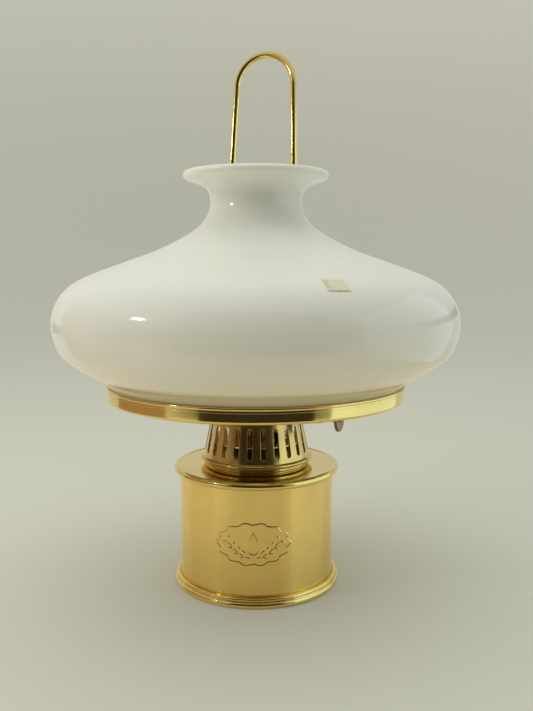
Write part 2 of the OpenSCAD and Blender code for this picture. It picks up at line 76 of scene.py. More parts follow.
class Shell:
    """Collects faces that share points, each corner with its own normal."""

    def __init__(self):
        self.index = {}
        self.points = []
        self.faces = []
        self.normals = []

    def point(self, p):
        key = (round(p[0], 6), round(p[1], 6), round(p[2], 6))
        if key not in self.index:
            self.index[key] = len(self.points)
            self.points.append(tuple(p))
        return self.index[key]

    def face(self, corners, normals):
        ids = [self.point(p) for p in corners]
        keep = [i for i in range(len(ids)) if ids[i] != ids[i - 1]]
        if len(keep) >= 3:
            self.faces.append([ids[i] for i in keep])
            self.normals.extend(normals[i] for i in keep)

    def strip(self, low, high, low_n, high_n, closed=True):
        """Quads between two rows of points; the rows run counter-clockwise seen from outside."""
        n = len(low)
        for i in range(n if closed else n - 1):
            j = (i + 1) % n
            self.face([low[i], low[j], high[j], high[i]], [low_n[i], low_n[j], high_n[j], high_n[i]])

    def build(self, name):
        mesh = bpy.data.meshes.new(name)
        mesh.from_pydata(self.points, [], self.faces)
        mesh.polygons.foreach_set("use_smooth", [True] * len(mesh.polygons))
        mesh.update()
        mesh.normals_split_custom_set([tuple(n) for n in self.normals])
        obj = bpy.data.objects.new(name, mesh)
        bpy.context.scene.collection.objects.link(obj)
        return obj


def place(obj, body, material, node):
    """Gives a finished piece its material and its body, and hides the CAD node that it stands for."""
    obj.data.materials.clear()
    obj.data.materials.append(material)
    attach(obj, body)
    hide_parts(node)


def seam(node):
    """Half section of a turned CAD node as a closed loop of (radius, height), counter-clockwise."""
    mesh = frame["nodes"][node].data
    spots = []

    def spot(co):
        for k, s in enumerate(spots):
            if abs(s[0] - co.x) < 4e-6 and abs(s[1] - co.z) < 4e-6:
                return k
        spots.append((co.x, co.z))
        return len(spots) - 1

    links = {}
    for edge in mesh.edges:
        a, b = (mesh.vertices[i].co for i in edge.vertices)
        if all(abs(c.y) < 2e-6 and c.x > 1e-4 for c in (a, b)):
            i, j = spot(a), spot(b)
            if i != j:
                links.setdefault(i, set()).add(j)
                links.setdefault(j, set()).add(i)
    start = max(range(len(spots)), key=lambda k: spots[k][0])
    loop = [start]
    while len(loop) < 3 or start not in links[loop[-1]]:
        ahead = [k for k in sorted(links[loop[-1]]) if k not in loop]
        if not ahead:
            break
        # Where more than one edge leaves a spot, the shortest one follows the outline
        loop.append(min(ahead, key=lambda k: math.dist(spots[k], spots[loop[-1]])))
    loop = [Vector(spots[k]) for k in loop]
    area = sum(p.x * q.y - q.x * p.y for p, q in zip(loop, loop[1:] + loop[:1]))
    return loop if area > 0 else loop[::-1]


def turn_at(before, here, after):
    u, v = here - before, after - here
    return abs(math.atan2(u.x * v.y - u.y * v.x, u.dot(v)))


def drop_flat(loop, limit=0.002):
    """Leaves out the points that lie on a straight run."""
    n = len(loop)
    return [p for i, p in enumerate(loop) if turn_at(loop[i - 1], p, loop[(i + 1) % n]) > limit]


def refine(loop, steps):
    """Adds points along the loop's curved runs and leaves its corners and straight runs alone."""
    n = len(loop)
    sharp = [turn_at(loop[i - 1], loop[i], loop[(i + 1) % n]) > SHARP for i in range(n)]
    out = []
    for i in range(n):
        # Catmull-Rom through four neighbours, spaced by the square root of their distances
        p0, p1, p2, p3 = loop[i - 1], loop[i], loop[(i + 1) % n], loop[(i + 2) % n]
        out.append(p1)
        if sharp[i] and sharp[(i + 1) % n]:
            continue
        a = 2 * p1 - p2 if sharp[i] else p0
        b = 2 * p2 - p1 if sharp[(i + 1) % n] else p3
        t1 = math.sqrt((p1 - a).length)
        t2 = t1 + math.sqrt((p2 - p1).length)
        t3 = t2 + math.sqrt((b - p2).length)
        for k in range(1, steps):
            t = t1 + (t2 - t1) * k / steps
            a1 = a * (t1 - t) / t1 + p1 * t / t1
            a2 = p1 * (t2 - t) / (t2 - t1) + p2 * (t - t1) / (t2 - t1)
            a3 = p2 * (t3 - t) / (t3 - t2) + b * (t - t2) / (t3 - t2)
            b1 = a1 * (t2 - t) / t2 + a2 * t / t2
            b2 = a2 * (t3 - t) / (t3 - t1) + a3 * (t - t1) / (t3 - t1)
            out.append(b1 * (t2 - t) / (t2 - t1) + b2 * (t - t1) / (t2 - t1))
    return out


def soften(loop, radius, closed=True):
    """Rounds the loop's sharp corners, or those of an open line between its two ends."""
    n = len(loop)
    steps = 4
    out = []
    for i, p in enumerate(loop):
        a, b = loop[i - 1], loop[(i + 1) % n]
        if turn_at(a, p, b) < SHARP or not closed and i in (0, n - 1):
            out.append(p)
            continue
        u, v = a - p, b - p
        d = min(radius, 0.45 * u.length, 0.45 * v.length)
        start, end = p + u.normalized() * d, p + v.normalized() * d
        for k in range(steps + 1):
            t = k / steps
            out.append(start * (1 - t) ** 2 + p * 2 * t * (1 - t) + end * t ** 2)
    return out


def profile_normals(line, closed):
    """Normals at both ends of each segment, shared between neighbours unless their corner is sharp."""
    n = len(line)
    crease = 0.7  # radians
    count = n if closed else n - 1
    flat = []
    for i in range(count):
        d = line[(i + 1) % n] - line[i]
        flat.append((Vector((d.y, -d.x)).normalized(), d.length))

    def joined(i, j):
        (a, la), (b, lb) = flat[i], flat[j]
        if a.dot(b) < math.cos(crease):
            return None
        return (a * la + b * lb).normalized()

    starts, ends = [], []
    for i in range(count):
        before = (i - 1) % count if closed or i > 0 else None
        after = (i + 1) % count if closed or i < count - 1 else None
        starts.append((joined(before, i) if before is not None else None) or flat[i][0])
        ends.append((joined(i, after) if after is not None else None) or flat[i][0])
    return starts, ends


def lathe(shell, line, segments, turn=0.0, closed=True, shift=None):
    """Turns a line of (radius, height) round the axis. shift(angle, radius, height) adds to the radius."""
    starts, ends = profile_normals(line, closed)
    angles = [math.radians(turn + 360 / segments * k) for k in range(segments)]
    ring = [(math.cos(a), math.sin(a)) for a in angles]

    def row(p):
        if shift is None:
            return [(p.x * c, p.x * s, p.y) for c, s in ring]
        radii = [p.x + shift(a, p.x, p.y) for a in angles]
        return [(r * c, r * s, p.y) for r, (c, s) in zip(radii, ring)]

    n = len(line)
    for i in range(n if closed else n - 1):
        low, high = row(line[i]), row(line[(i + 1) % n])
        low_n = [(starts[i].x * c, starts[i].x * s, starts[i].y) for c, s in ring]
        high_n = [(ends[i].x * c, ends[i].x * s, ends[i].y) for c, s in ring]
        shell.strip(low, high, low_n, high_n)


def turned(node, body, material, segments=160, radius=0.3 * MM, steps=1):
    """A turned CAD node again, finer, with rounded corners."""
    line = soften(refine(drop_flat(seam(node)), steps), radius)
    shell = Shell()
    lathe(shell, line, segments)
    place(shell.build(node + "_finished"), body, material, node)


def own_normals_off(mesh):
    if "custom_normal" in mesh.attributes:
        mesh.attributes.remove(mesh.attributes["custom_normal"])


def machined(node, body, material, width):
    """A CAD node's own mesh with rounded edges."""
    mesh = frame["nodes"][node].data.copy()
    bm = bmesh.new()
    bm.from_mesh(mesh)
    bmesh.ops.remove_doubles(bm, verts=bm.verts, dist=2e-6)
    bmesh.ops.dissolve_limit(bm, angle_limit=math.radians(0.4), verts=bm.verts, edges=bm.edges)
    bm.to_mesh(mesh)
    bm.free()
    own_normals_off(mesh)
    mesh.polygons.foreach_set("use_smooth", [True] * len(mesh.polygons))
    obj = bpy.data.objects.new(node + "_finished", mesh)
    bpy.context.scene.collection.objects.link(obj)
    bevel = obj.modifiers.new("edges", "BEVEL")
    bevel.width = width
    bevel.segments = 2
    bevel.limit_method = "ANGLE"
    bevel.angle_limit = math.radians(35)
    bevel.use_clamp_overlap = True
    obj.modifiers.new("normals", "WEIGHTED_NORMAL")
    bpy.context.view_layer.update()
    final = bpy.data.meshes.new_from_object(obj.evaluated_get(bpy.context.evaluated_depsgraph_get()))
    obj.modifiers.clear()
    obj.data = final
    obj.data.name = node + "_finished"
    place(obj, body, material, node)


# ---------------------------------------------------------------- materials

SLOT_OF = {name: obj.data.materials[0].name.split(".")[0] for name, obj in frame["nodes"].items()}


class Nodes:
    """Short ways to add nodes to a tree and wire them up."""

    def __init__(self, tree, coordinates):
        self.tree = tree
        self.place = self.add("ShaderNodeTexCoord").outputs[coordinates]

    def add(self, kind, inputs=(), **settings):
        node = self.tree.nodes.new(kind)
        for key, value in settings.items():
            setattr(node, key, value)
        for key, value in dict(inputs).items():
            self.set(node, key, value)
        return node

    def set(self, node, key, value):
        if isinstance(value, bpy.types.NodeSocket):
            self.tree.links.new(value, node.inputs[key])
        else:
            node.inputs[key].default_value = value

    def noise(self, scale, detail=3.0, rough=0.5, vector=None):
        node = self.add("ShaderNodeTexNoise", {
            "Vector": vector or self.place, "Scale": scale, "Detail": detail, "Roughness": rough})
        return node.outputs["Fac"]

    def span(self, value, low, high, to_low=0.0, to_high=1.0):
        node = self.add("ShaderNodeMapRange", {
            "Value": value, "From Min": low, "From Max": high, "To Min": to_low, "To Max": to_high})
        return node.outputs[0]

    def ease(self, value, low, high):
        return self.add("ShaderNodeMapRange", {
            "Value": value, "From Min": low, "From Max": high}, interpolation_type="SMOOTHSTEP").outputs[0]

    def math(self, kind, a, b=0.0):
        return self.add("ShaderNodeMath", {0: a, 1: b}, operation=kind).outputs[0]

    def mix(self, fac, a, b):
        node = self.add("ShaderNodeMix", data_type="RGBA")
        for socket, value in (("Factor_Float", fac), ("A_Color", a), ("B_Color", b)):
            target = next(s for s in node.inputs if s.identifier == socket)
            if isinstance(value, bpy.types.NodeSocket):
                self.tree.links.new(value, target)
            else:
                target.default_value = value
        return next(s for s in node.outputs if s.identifier == "Result_Color")

    def bump(self, height, distance, strength, normal=None):
        inputs = {"Height": height, "Distance": distance, "Strength": strength}
        if normal is not None:
            inputs["Normal"] = normal
        return self.add("ShaderNodeBump", inputs).outputs["Normal"]

    def parts(self):
        node = self.add("ShaderNodeSeparateXYZ", {0: self.place})
        return node.outputs["X"], node.outputs["Y"], node.outputs["Z"]


class Look(Nodes):
    """A material on the Principled shader, in the lamp's own coordinates."""

    def __init__(self, name):
        self.material = bpy.data.materials.new(name)
        self.material.use_nodes = True
        self.material.node_tree.nodes.clear()
        super().__init__(self.material.node_tree, "Object")
        self.shader = self.add("ShaderNodeBsdfPrincipled")
        self.add("ShaderNodeOutputMaterial", {"Surface": self.shader.outputs[0]})

    def finish(self, **values):
        for key, value in values.items():
            self.set(self.shader, key.replace("_", " "), value)
        return self.material


def colour(r, g, b):
    return (r, g, b, 1.0)


def brass(name, clean, aged, rough, tarnish, spots):
    """Lacquered turned brass: clean metal with clouded and spotted age, and fine lines from turning."""
    look = Look(name)
    x, y, z = look.parts()
    squares = look.math("ADD", look.math("MULTIPLY", x, x), look.math("MULTIPLY", y, y))
    along = look.math("ADD", look.math("SQRT", squares), z)
    lines = look.noise(2600.0, 4.0, 0.75, look.add("ShaderNodeCombineXYZ", {"Z": along}).outputs[0])
    clouds = look.span(look.noise(26.0, 4.0, 0.55), 0.42, 0.72)
    freckles = look.span(look.noise(420.0, 2.0, 0.5), 0.66, 0.74)
    age = look.math("ADD", look.math("MULTIPLY", clouds, tarnish), look.math("MULTIPLY", freckles, spots))
    worn = look.math("MINIMUM", age, 1.0)
    tint = look.mix(worn, colour(*clean), colour(*aged))
    roughness = look.math("ADD", look.span(look.noise(55.0, 3.0), 0.3, 0.7, rough, rough + 0.07),
                          look.math("MULTIPLY", worn, 0.12))
    waves = look.bump(look.noise(38.0, 2.0), 0.00009, 0.5)
    return look.finish(
        Base_Color=tint, Metallic=1.0, Roughness=roughness,
        Normal=look.bump(lines, 0.000012, 0.35, waves))


BRASS = brass("brass_polished", (0.84, 0.665, 0.25), (0.62, 0.43, 0.13), 0.08, 0.22, 0.3)
BURNER_BRASS = brass("brass_burner", (0.76, 0.58, 0.22), (0.42, 0.27, 0.09), 0.12, 0.5, 0.5)
DARK_BRASS = brass("brass_oxidised", (0.30, 0.21, 0.10), (0.09, 0.06, 0.035), 0.3, 0.9, 0.8)


def steel_look():
    """Plain steel, dull in patches and lightly scratched."""
    look = Look("steel_plain")
    scratches = look.noise(900.0, 3.0, 0.6)
    return look.finish(
        Metallic=1.0,
        Base_Color=look.mix(look.noise(60.0), colour(0.55, 0.53, 0.49), colour(0.34, 0.31, 0.27)),
        Roughness=look.span(look.noise(120.0), 0.3, 0.7, 0.24, 0.42),
        Normal=look.bump(scratches, 0.00002, 0.4))


def opal_look(foot_z):
    """White cased glass: glossy, a little uneven, with light spreading inside it, and with painted shade and
    a painted brass reflection towards its foot.
    """
    look = Look("glass_opal")
    tone = look.mix(look.noise(7.0, 2.0), colour(0.92, 0.925, 0.86), colour(0.87, 0.88, 0.815))
    specks = look.span(look.noise(700.0, 1.0), 0.76, 0.8)
    look.shader.inputs["IOR"].default_value = 1.52
    look.shader.inputs["Subsurface Weight"].default_value = 0.25
    look.shader.inputs["Subsurface Radius"].default_value = (1.0, 0.95, 0.85)
    look.shader.inputs["Subsurface Scale"].default_value = 0.006
    # Painted shade and a painted reflection of the brass ring: the glass turns darker and browner towards
    # its foot.
    tint_mask = look.ease(look.parts()[2], foot_z + 14 * MM, foot_z + 2 * MM)
    tone = look.mix(look.math("MULTIPLY", tint_mask, 0.75), tone, colour(0.52, 0.45, 0.26))
    return look.finish(
        Base_Color=look.mix(specks, tone, colour(0.7, 0.68, 0.6)),
        Roughness=look.span(look.noise(30.0, 2.0), 0.3, 0.7, 0.09, 0.15),
        Normal=look.bump(look.noise(16.0, 1.0), 0.0006, 0.35))


def clear_look():
    """Clear blown glass with a faint green tint and a little haze."""
    look = Look("glass_clear")
    look.shader.inputs["Transmission Weight"].default_value = 1.0
    look.shader.inputs["IOR"].default_value = 1.47
    return look.finish(
        Base_Color=look.mix(look.noise(20.0), colour(0.97, 0.985, 0.97), colour(0.93, 0.955, 0.93)),
        Roughness=look.span(look.noise(40.0, 2.0), 0.45, 0.75, 0.01, 0.05),
        Normal=look.bump(look.noise(24.0, 1.0), 0.0004, 0.3))


def cotton_look(char_top):
    """Woven wick, scorched where it has burnt."""
    look = Look("cotton_wick")
    x, y, z = look.parts()
    turn = look.math("MULTIPLY", look.math("ARCTAN2", y, x), 14.5 * MM)
    warp = look.math("SINE", look.math("MULTIPLY", turn, 2 * math.pi / (1.1 * MM)))
    weft = look.math("SINE", look.math("MULTIPLY", z, 2 * math.pi / (1.2 * MM)))
    weave = look.math("MULTIPLY", warp, weft)
    edge = look.math("ADD", z, look.math("MULTIPLY", look.noise(300.0), 3 * MM))
    char = look.span(edge, char_top - 4 * MM, char_top + 0.5 * MM)
    base = look.mix(look.span(weave, -1, 1), colour(0.62, 0.55, 0.4), colour(0.86, 0.81, 0.68))
    return look.finish(
        Base_Color=look.mix(char, base, colour(0.03, 0.025, 0.02)),
        Roughness=0.9,
        Normal=look.bump(weave, 0.0003, 0.8))


def leather_look():
    """Dark oiled leather with a fine grain."""
    look = Look("leather_washer")
    grain = look.noise(900.0, 4.0, 0.6)
    return look.finish(
        Base_Color=look.mix(look.noise(140.0), colour(0.10, 0.055, 0.03), colour(0.2, 0.12, 0.07)),
        Roughness=look.span(grain, 0.3, 0.7, 0.45, 0.75),
        Normal=look.bump(grain, 0.0002, 0.6))


def paper_look():
    """Yellowed blank paper."""
    look = Look("paper_label")
    tint_mask = look.span(look.noise(120.0, 3.0), 0.5, 0.62)
    fibres = look.noise(2600.0, 4.0, 0.7)
    return look.finish(
        Base_Color=look.mix(tint_mask, colour(0.80, 0.775, 0.62), colour(0.74, 0.66, 0.38)),
        Roughness=look.span(fibres, 0.3, 0.7, 0.55, 0.8),
        Normal=look.bump(fibres, 0.00005, 0.4))


STEEL = steel_look()
OPAL = opal_look(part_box("shade_ring")[1].z)
CLEAR = clear_look()
COTTON = cotton_look(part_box("wick")[1].z)
LEATHER = leather_look()
PAPER = paper_look()
MATERIAL_OF = {
    "brass": BRASS, "burner_brass": BURNER_BRASS, "dark_brass": DARK_BRASS, "steel": STEEL,
    "washer": LEATHER, "cotton": COTTON, "clear_glass": CLEAR, "opal_glass": OPAL,
}

# Every CAD node gets a finished material, whether or not a finer piece stands for it
for node_name, node_obj in frame["nodes"].items():
    for slot_index in range(len(node_obj.data.materials)):
        node_obj.data.materials[slot_index] = MATERIAL_OF[SLOT_OF[node_name]]


# ---------------------------------------------------------------- font

MARK_TURN = -2.4  # degrees from the front, towards the left
MARK_Z = 49 * MM
MARK_A = 28 * MM  # half its width
MARK_B = 16 * MM  # half its height
MARK_RISE = 0.26 * MM
MARK_MARGIN = 1.5 * MM
CORD_WIDTH = 0.7 * MM
CORD_LOBES = 14
CORD_WAVE = 0.045
FLAME_WIDTH = 0.65 * MM
FLAME_X = 5.6 * MM
FLAME_Z = 8.6 * MM
STEM_WIDTH = 0.5 * MM
LEAF_A = 2.5 * MM
LEAF_B = 1.1 * MM
LEAF_OUT = 2.9 * MM
LEAF_SPREAD = 0.8  # radians
THREAD_PITCH = 3 * MM
THREAD_DEPTH = 0.35 * MM


def smoothstep(t):
    t = np.clip(t, 0.0, 1.0)
    return t * t * (3 - 2 * t)


def stroke(distance, width):
    """Height of a rounded line, from 1 on its middle to 0 at this distance."""
    return smoothstep(1 - np.abs(distance) / width)


def ellipse_distance(u, v, a, b, turn=0.0):
    """Nearly the distance from an ellipse, negative inside."""
    c, s = math.cos(turn), math.sin(turn)
    x, y = u * c + v * s, v * c - u * s
    k = np.hypot(x / a, y / b)
    return k * (k - 1) / np.maximum(np.hypot(x / a ** 2, y / b ** 2), 1e-9)


def line_distance(u, v, line):
    best = np.full(u.shape, 1.0)
    for (x0, y0), (x1, y1) in zip(line, line[1:]):
        dx, dy = x1 - x0, y1 - y0
        t = np.clip(((u - x0) * dx + (v - y0) * dy) / (dx * dx + dy * dy), 0, 1)
        best = np.minimum(best, np.hypot(u - x0 - t * dx, v - y0 - t * dy))
    return best


def mark_height(u, v):
    """Stamped ornament: a scalloped cord round a flame between two leafy sprigs. u and v in metres."""
    lobes = 1 + CORD_WAVE * np.cos(CORD_LOBES * np.arctan2(v / MARK_B, u / MARK_A))
    rise = stroke(ellipse_distance(u, v, MARK_A * lobes, MARK_B * lobes), CORD_WIDTH)
    flame = []
    for k in range(41):
        t = 2 * math.pi * k / 40
        flame.append((FLAME_X * math.sin(t) * math.sin(t / 2) ** 1.3, FLAME_Z * math.cos(t) + 0.6 * MM))
    rise = np.maximum(rise, stroke(line_distance(u, v, flame), FLAME_WIDTH))
    side = np.abs(u)
    stem = [(2.5 * MM + 18 * MM * t, -10.4 * MM + 12.5 * MM * t ** 1.7) for t in (k / 16 for k in range(17))]
    rise = np.maximum(rise, stroke(line_distance(side, v, stem), STEM_WIDTH))
    for k in range(3, 17, 4):
        (x0, y0), (x1, y1) = stem[k - 1], stem[k]
        for spread in (-LEAF_SPREAD, LEAF_SPREAD):
            turn = math.atan2(y1 - y0, x1 - x0) + spread
            leaf_u = side - x1 - LEAF_OUT * math.cos(turn)
            leaf_v = v - y1 - LEAF_OUT * math.sin(turn)
            leaf = ellipse_distance(leaf_u, leaf_v, LEAF_A, LEAF_B, turn)
            rise = np.maximum(rise, 0.9 * smoothstep(0.5 - leaf / (0.6 * MM)))
    return rise * MARK_RISE


def font_wall():
    """The font's wall, with a fine grid where the ornament is stamped."""
    low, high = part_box("font_body")
    outer = high.x
    inner = min(p.x for p in seam("font_body"))
    centre = -90 + MARK_TURN
    half_u, half_v = MARK_A + MARK_MARGIN, MARK_B + MARK_MARGIN
    reach = math.degrees(half_u / outer)
    fine = np.linspace(centre - reach, centre + reach, 260)
    coarse = np.linspace(centre + reach, centre - reach + 360, 160)[1:-1]
    angles = np.radians(np.concatenate([fine, coarse]))
    heights = np.concatenate([
        np.linspace(low.z, MARK_Z - half_v, 8)[:-1],
        np.linspace(MARK_Z - half_v, MARK_Z + half_v, 150),
        np.linspace(MARK_Z + half_v, high.z, 9)[1:]])
    angle, z = np.meshgrid(angles, heights)
    u = outer * (angle - math.radians(centre))
    v = z - MARK_Z
    inside = (np.abs(u) < half_u) & (np.abs(v) < half_v)
    rise = np.where(inside, mark_height(np.where(inside, u, 1.0), np.where(inside, v, 1.0)), 0.0)
    x, y = (outer + rise) * np.cos(angle), (outer + rise) * np.sin(angle)
    slope_u = np.gradient(rise, axis=1) / np.maximum(np.gradient(u, axis=1), 1e-9)
    slope_u[:, [0, -1]] = 0
    slope_v = np.gradient(rise, heights, axis=0)
    points = np.stack([x, y, z], axis=2)
    normals = np.stack([
        np.cos(angle) + slope_u * np.sin(angle), np.sin(angle) - slope_u * np.cos(angle), -slope_v], axis=2)
    shell = Shell()
    for i in range(len(heights) - 1):
        shell.strip(points[i].tolist(), points[i + 1].tolist(), normals[i].tolist(), normals[i + 1].tolist())

    # Inner face and the two edges, hidden under the plate and the foot
    ring = [(math.cos(a), math.sin(a)) for a in angles]
    corners = [(outer, high.z), (inner, high.z), (inner, low.z), (outer, low.z)]
    for (r0, z0), (r1, z1) in zip(corners, corners[1:]):
        d = Vector((z1 - z0, r0 - r1)).normalized()
        normal = [(d.x * c, d.x * s, d.y) for c, s in ring]
        first = [(r0 * c, r0 * s, z0) for c, s in ring]
        second = [(r1 * c, r1 * s, z1) for c, s in ring]
        shell.strip(first, second, normal, normal)
    place(shell.build("font_wall"), "font", BRASS, "font_body")


font_wall()
turned("base_rim", "font", BRASS, 240, 0.25 * MM, 3)
turned("top_plate", "font", BRASS, 240, 0.25 * MM, 2)
turned("collar_washer", "washer", LEATHER, 120, 0.15 * MM)


def thread(radius, z0, z1, inwards):
    """Shift that cuts a right-hand rounded thread into a cylinder of this radius, fading at both ends."""
    def shift(angle, r, z):
        if abs(r - radius) > 1e-5 or not z0 < z < z1:
            return 0.0
        fade = min(1.0, (z - z0) / (1.5 * MM), (z1 - z) / (1.5 * MM))
        turns = z / THREAD_PITCH - angle / (2 * math.pi) + (0 if inwards else 0.5)
        wave = 0.5 - 0.5 * math.cos(2 * math.pi * turns)
        return (-1 if inwards else 1) * THREAD_DEPTH * wave * fade

    return shift


def threaded(node, body, material, radius, inwards):
    """A turned CAD node with a thread on its cylinder of this radius."""
    line = soften(drop_flat(seam(node)), 0.25 * MM)
    split = []
    for p, q in zip(line, line[1:] + line[:1]):
        split.append(p)
        if abs(p.x - radius) < 1e-5 and abs(q.x - radius) < 1e-5:
            steps = max(1, round(abs(q.y - p.y) / (THREAD_PITCH / 12)))
            split += [p.lerp(q, k / steps) for k in range(1, steps)]
    heights = [p.y for p in split if abs(p.x - radius) < 1e-5]
    shell = Shell()
    lathe(shell, split, 144, shift=thread(radius, min(heights), max(heights), inwards))
    obj = shell.build(node + "_finished")
    own_normals_off(obj.data)
    obj.data.set_sharp_from_angle(angle=math.radians(40))
    place(obj, body, material, node)


threaded("filler_collar", "font", BRASS, min(p.x for p in seam("filler_collar")), False)
plug_radius = max(p.x for p in seam("burner_base") if p.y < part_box("filler_collar")[1].z - 2 * MM)
threaded("burner_base", "burner", BURNER_BRASS, plug_radius, True)


# ---------------------------------------------------------------- burner

SLOTS = 24
SLOT_W = 4 * MM
SLOT_LOW = 108.5 * MM
SLOT_HIGH = 132 * MM
SLOT_MARGIN = 1.2 * MM
SLOT_COLUMNS = 8


def slot_outline(grow):
    """A slot's outline, and at each point the way to its middle, both as (tangent, height)."""
    r = SLOT_W / 2 + grow
    low, high = SLOT_LOW + SLOT_W / 2, SLOT_HIGH - SLOT_W / 2
    steps = [k / 8 for k in range(8)]
    outline = []
    for start, centre, side, first, last in (
            (math.pi, low, r, low, high),
            (0.0, high, -r, high, low)):
        for t in steps:
            a = start + math.pi * t
            outline.append(((r * math.cos(a), centre + r * math.sin(a)), (-math.cos(a), -math.sin(a))))
        outline += [((side, first + (last - first) * t), (-side / r, 0.0)) for t in steps]
    return outline


def slotted_basket():
    """The burner's basket: a turned cone with a row of round-ended slots that have softened edges."""
    loop = drop_flat(seam("burner_basket"))
    n = len(loop)
    runs = sorted(range(n), key=lambda i: -(loop[(i + 1) % n] - loop[i]).length)[:2]
    outer = max(runs, key=lambda i: loop[i].x)
    inner = min(runs, key=lambda i: loop[i].x)
    z_low, z_high = SLOT_LOW - SLOT_MARGIN, SLOT_HIGH + SLOT_MARGIN
    total = SLOTS * SLOT_COLUMNS
    step = 360 / total

    def radius_on(run, z):
        a, b = loop[run], loop[(run + 1) % n]
        return a.x + (b.x - a.x) * (z - a.y) / (b.y - a.y)

    def rest_of(first, last, z):
        """The outline from one run round to the other, cut off at a height."""
        line, i = [Vector((radius_on(first, z), z))], (first + 1) % n
        while i != last:
            line.append(loop[i])
            i = (i + 1) % n
        return line + [loop[last], Vector((radius_on(last, z), z))]

    lean = math.atan2(radius_on(outer, z_low) - radius_on(outer, z_high), z_high - z_low)
    border = [(k - 4, z_low) for k in range(8)]
    border += [(4, z_low + (z_high - z_low) * k / 8) for k in range(8)]
    border += [(4 - k, z_high) for k in range(8)]
    border += [(-4, z_high + (z_low - z_high) * k / 8) for k in range(8)]

    def facing(a):
        return Vector((math.cos(a) * math.cos(lean), math.sin(a) * math.cos(lean), math.sin(lean)))

    def border_row(run, slot, outwards):
        row, normals = [], []
        for k, z in border:
            a = math.radians(BURNER_TURN + step * ((SLOT_COLUMNS * slot + k) % total))
            r = radius_on(run, z)
            row.append((r * math.cos(a), r * math.sin(a), z))
            normals.append(tuple(facing(a) * outwards))
        return row, normals

    def slot_row(run, slot, grow, depth, outwards):
        mid = math.radians(BURNER_TURN + step * SLOT_COLUMNS * slot)
        row, normals = [], []
        for (x, z), (t, h) in slot_outline(grow):
            r = radius_on(run, z) + depth
            a = mid + math.asin(x / r)
            row.append((r * math.cos(a), r * math.sin(a), z))
            side = Vector((-math.sin(mid) * t, math.cos(mid) * t, h))
            normals.append(tuple((side * (1 - abs(outwards)) + facing(a) * outwards).normalized()))
        return row, normals

    shell = Shell()
    for first, last, z in ((outer, inner, z_high), (inner, outer, z_low)):
        line = soften(rest_of(first, last, z), 0.3 * MM, closed=False)
        lathe(shell, line, total, BURNER_TURN, closed=False)
    # From the outer face through the slot to the inner face: growth, depth and share of the face's normal
    edges = ((outer, 0.4 * MM, 0, 1), (outer, 0.12 * MM, -0.1 * MM, 0.6), (outer, 0, -0.35 * MM, 0),
             (inner, 0, 0.25 * MM, 0), (inner, 0.1 * MM, 0.05 * MM, -0.6), (inner, 0.3 * MM, 0, -1))
    for slot in range(SLOTS):
        chain = [border_row(outer, slot, 1)]
        chain += [slot_row(run, slot, *edge) for run, *edge in edges]
        chain.append(border_row(inner, slot, -1))
        for (row_a, normals_a), (row_b, normals_b) in zip(chain, chain[1:]):
            shell.strip(row_a, row_b, normals_a, normals_b)
    place(shell.build("burner_basket_finished"), "burner", BURNER_BRASS, "burner_basket")


slotted_basket()
machined("gallery", "burner", BURNER_BRASS, 0.15 * MM)
machined("carrier_hub", "burner", BRASS, 0.3 * MM)
machined("shaft_bush", "burner", BURNER_BRASS, 0.2 * MM)
machined("arm_screws", "burner", STEEL, 0.15 * MM)
machined("arm_rivets", "burner", BRASS, 0.25 * MM)
machined("bail_screws", "burner", STEEL, 0.2 * MM)
for arm in range(1, 5):
    machined(f"shade_arm_{arm}", "burner", BRASS, 0.35 * MM)
turned("shade_ring", "burner", BRASS, 288, 0.2 * MM, 3)
machined("raiser_knob", "raiser", DARK_BRASS, 0.15 * MM)
machined("knob_nut", "raiser", DARK_BRASS, 0.2 * MM)
machined("wick", "wick_assembly", COTTON, 0.3 * MM)


# ---------------------------------------------------------------- glass

turned("chimney", "chimney", CLEAR, 160, 0.7 * MM, 2)
turned("glass_shade", "shade", OPAL, 256, 0.9 * MM, 3)


# ---------------------------------------------------------------- bail

BAIL_HINGE = Vector(next(j for j in frame["joints"] if j["name"] == "bail_swing")["pos_m"])
BAIL_FOOT = 33.3 * MM
BAIL_RISE = 266.7 * MM
BAIL_LEAN = 4.3  # degrees
ARCH_R = 24.2 * MM
WIRE_R = 2.75 * MM
EYE_THICK = 3 * MM
EYE_WIDE = 7.2 * MM
EYE_R = 4.6 * MM
PIN_R = 2 * MM


def bail_path():
    """The wire's middle line as (across, height above the hinge, half thickness, half width)."""
    arch_z = BAIL_RISE - ARCH_R
    splay = math.atan2(BAIL_FOOT, arch_z) - math.asin(ARCH_R / math.hypot(BAIL_FOOT, arch_z))
    top_x = ARCH_R * math.cos(splay)
    top_z = arch_z + ARCH_R * math.sin(splay)
    leg = []
    for height in (3, 5, 7, 9, 11, 13, 15, 17, 19, 22, 26, 40, 70, 110, 150, 190, 215):
        z = height * MM
        flat = smoothstep((20 * MM - z) / (14 * MM))
        leg.append((BAIL_FOOT + (top_x - BAIL_FOOT) * z / top_z, z,
                    WIRE_R + (EYE_THICK / 2 - WIRE_R) * flat, WIRE_R + (EYE_WIDE / 2 - WIRE_R) * flat))
    arch = [(ARCH_R * math.cos(a), arch_z + ARCH_R * math.sin(a), WIRE_R, WIRE_R)
            for a in (splay + (math.pi - 2 * splay) * k / 72 for k in range(73))]
    return leg + arch + [(-x, z, thick, wide) for x, z, thick, wide in reversed(leg)]


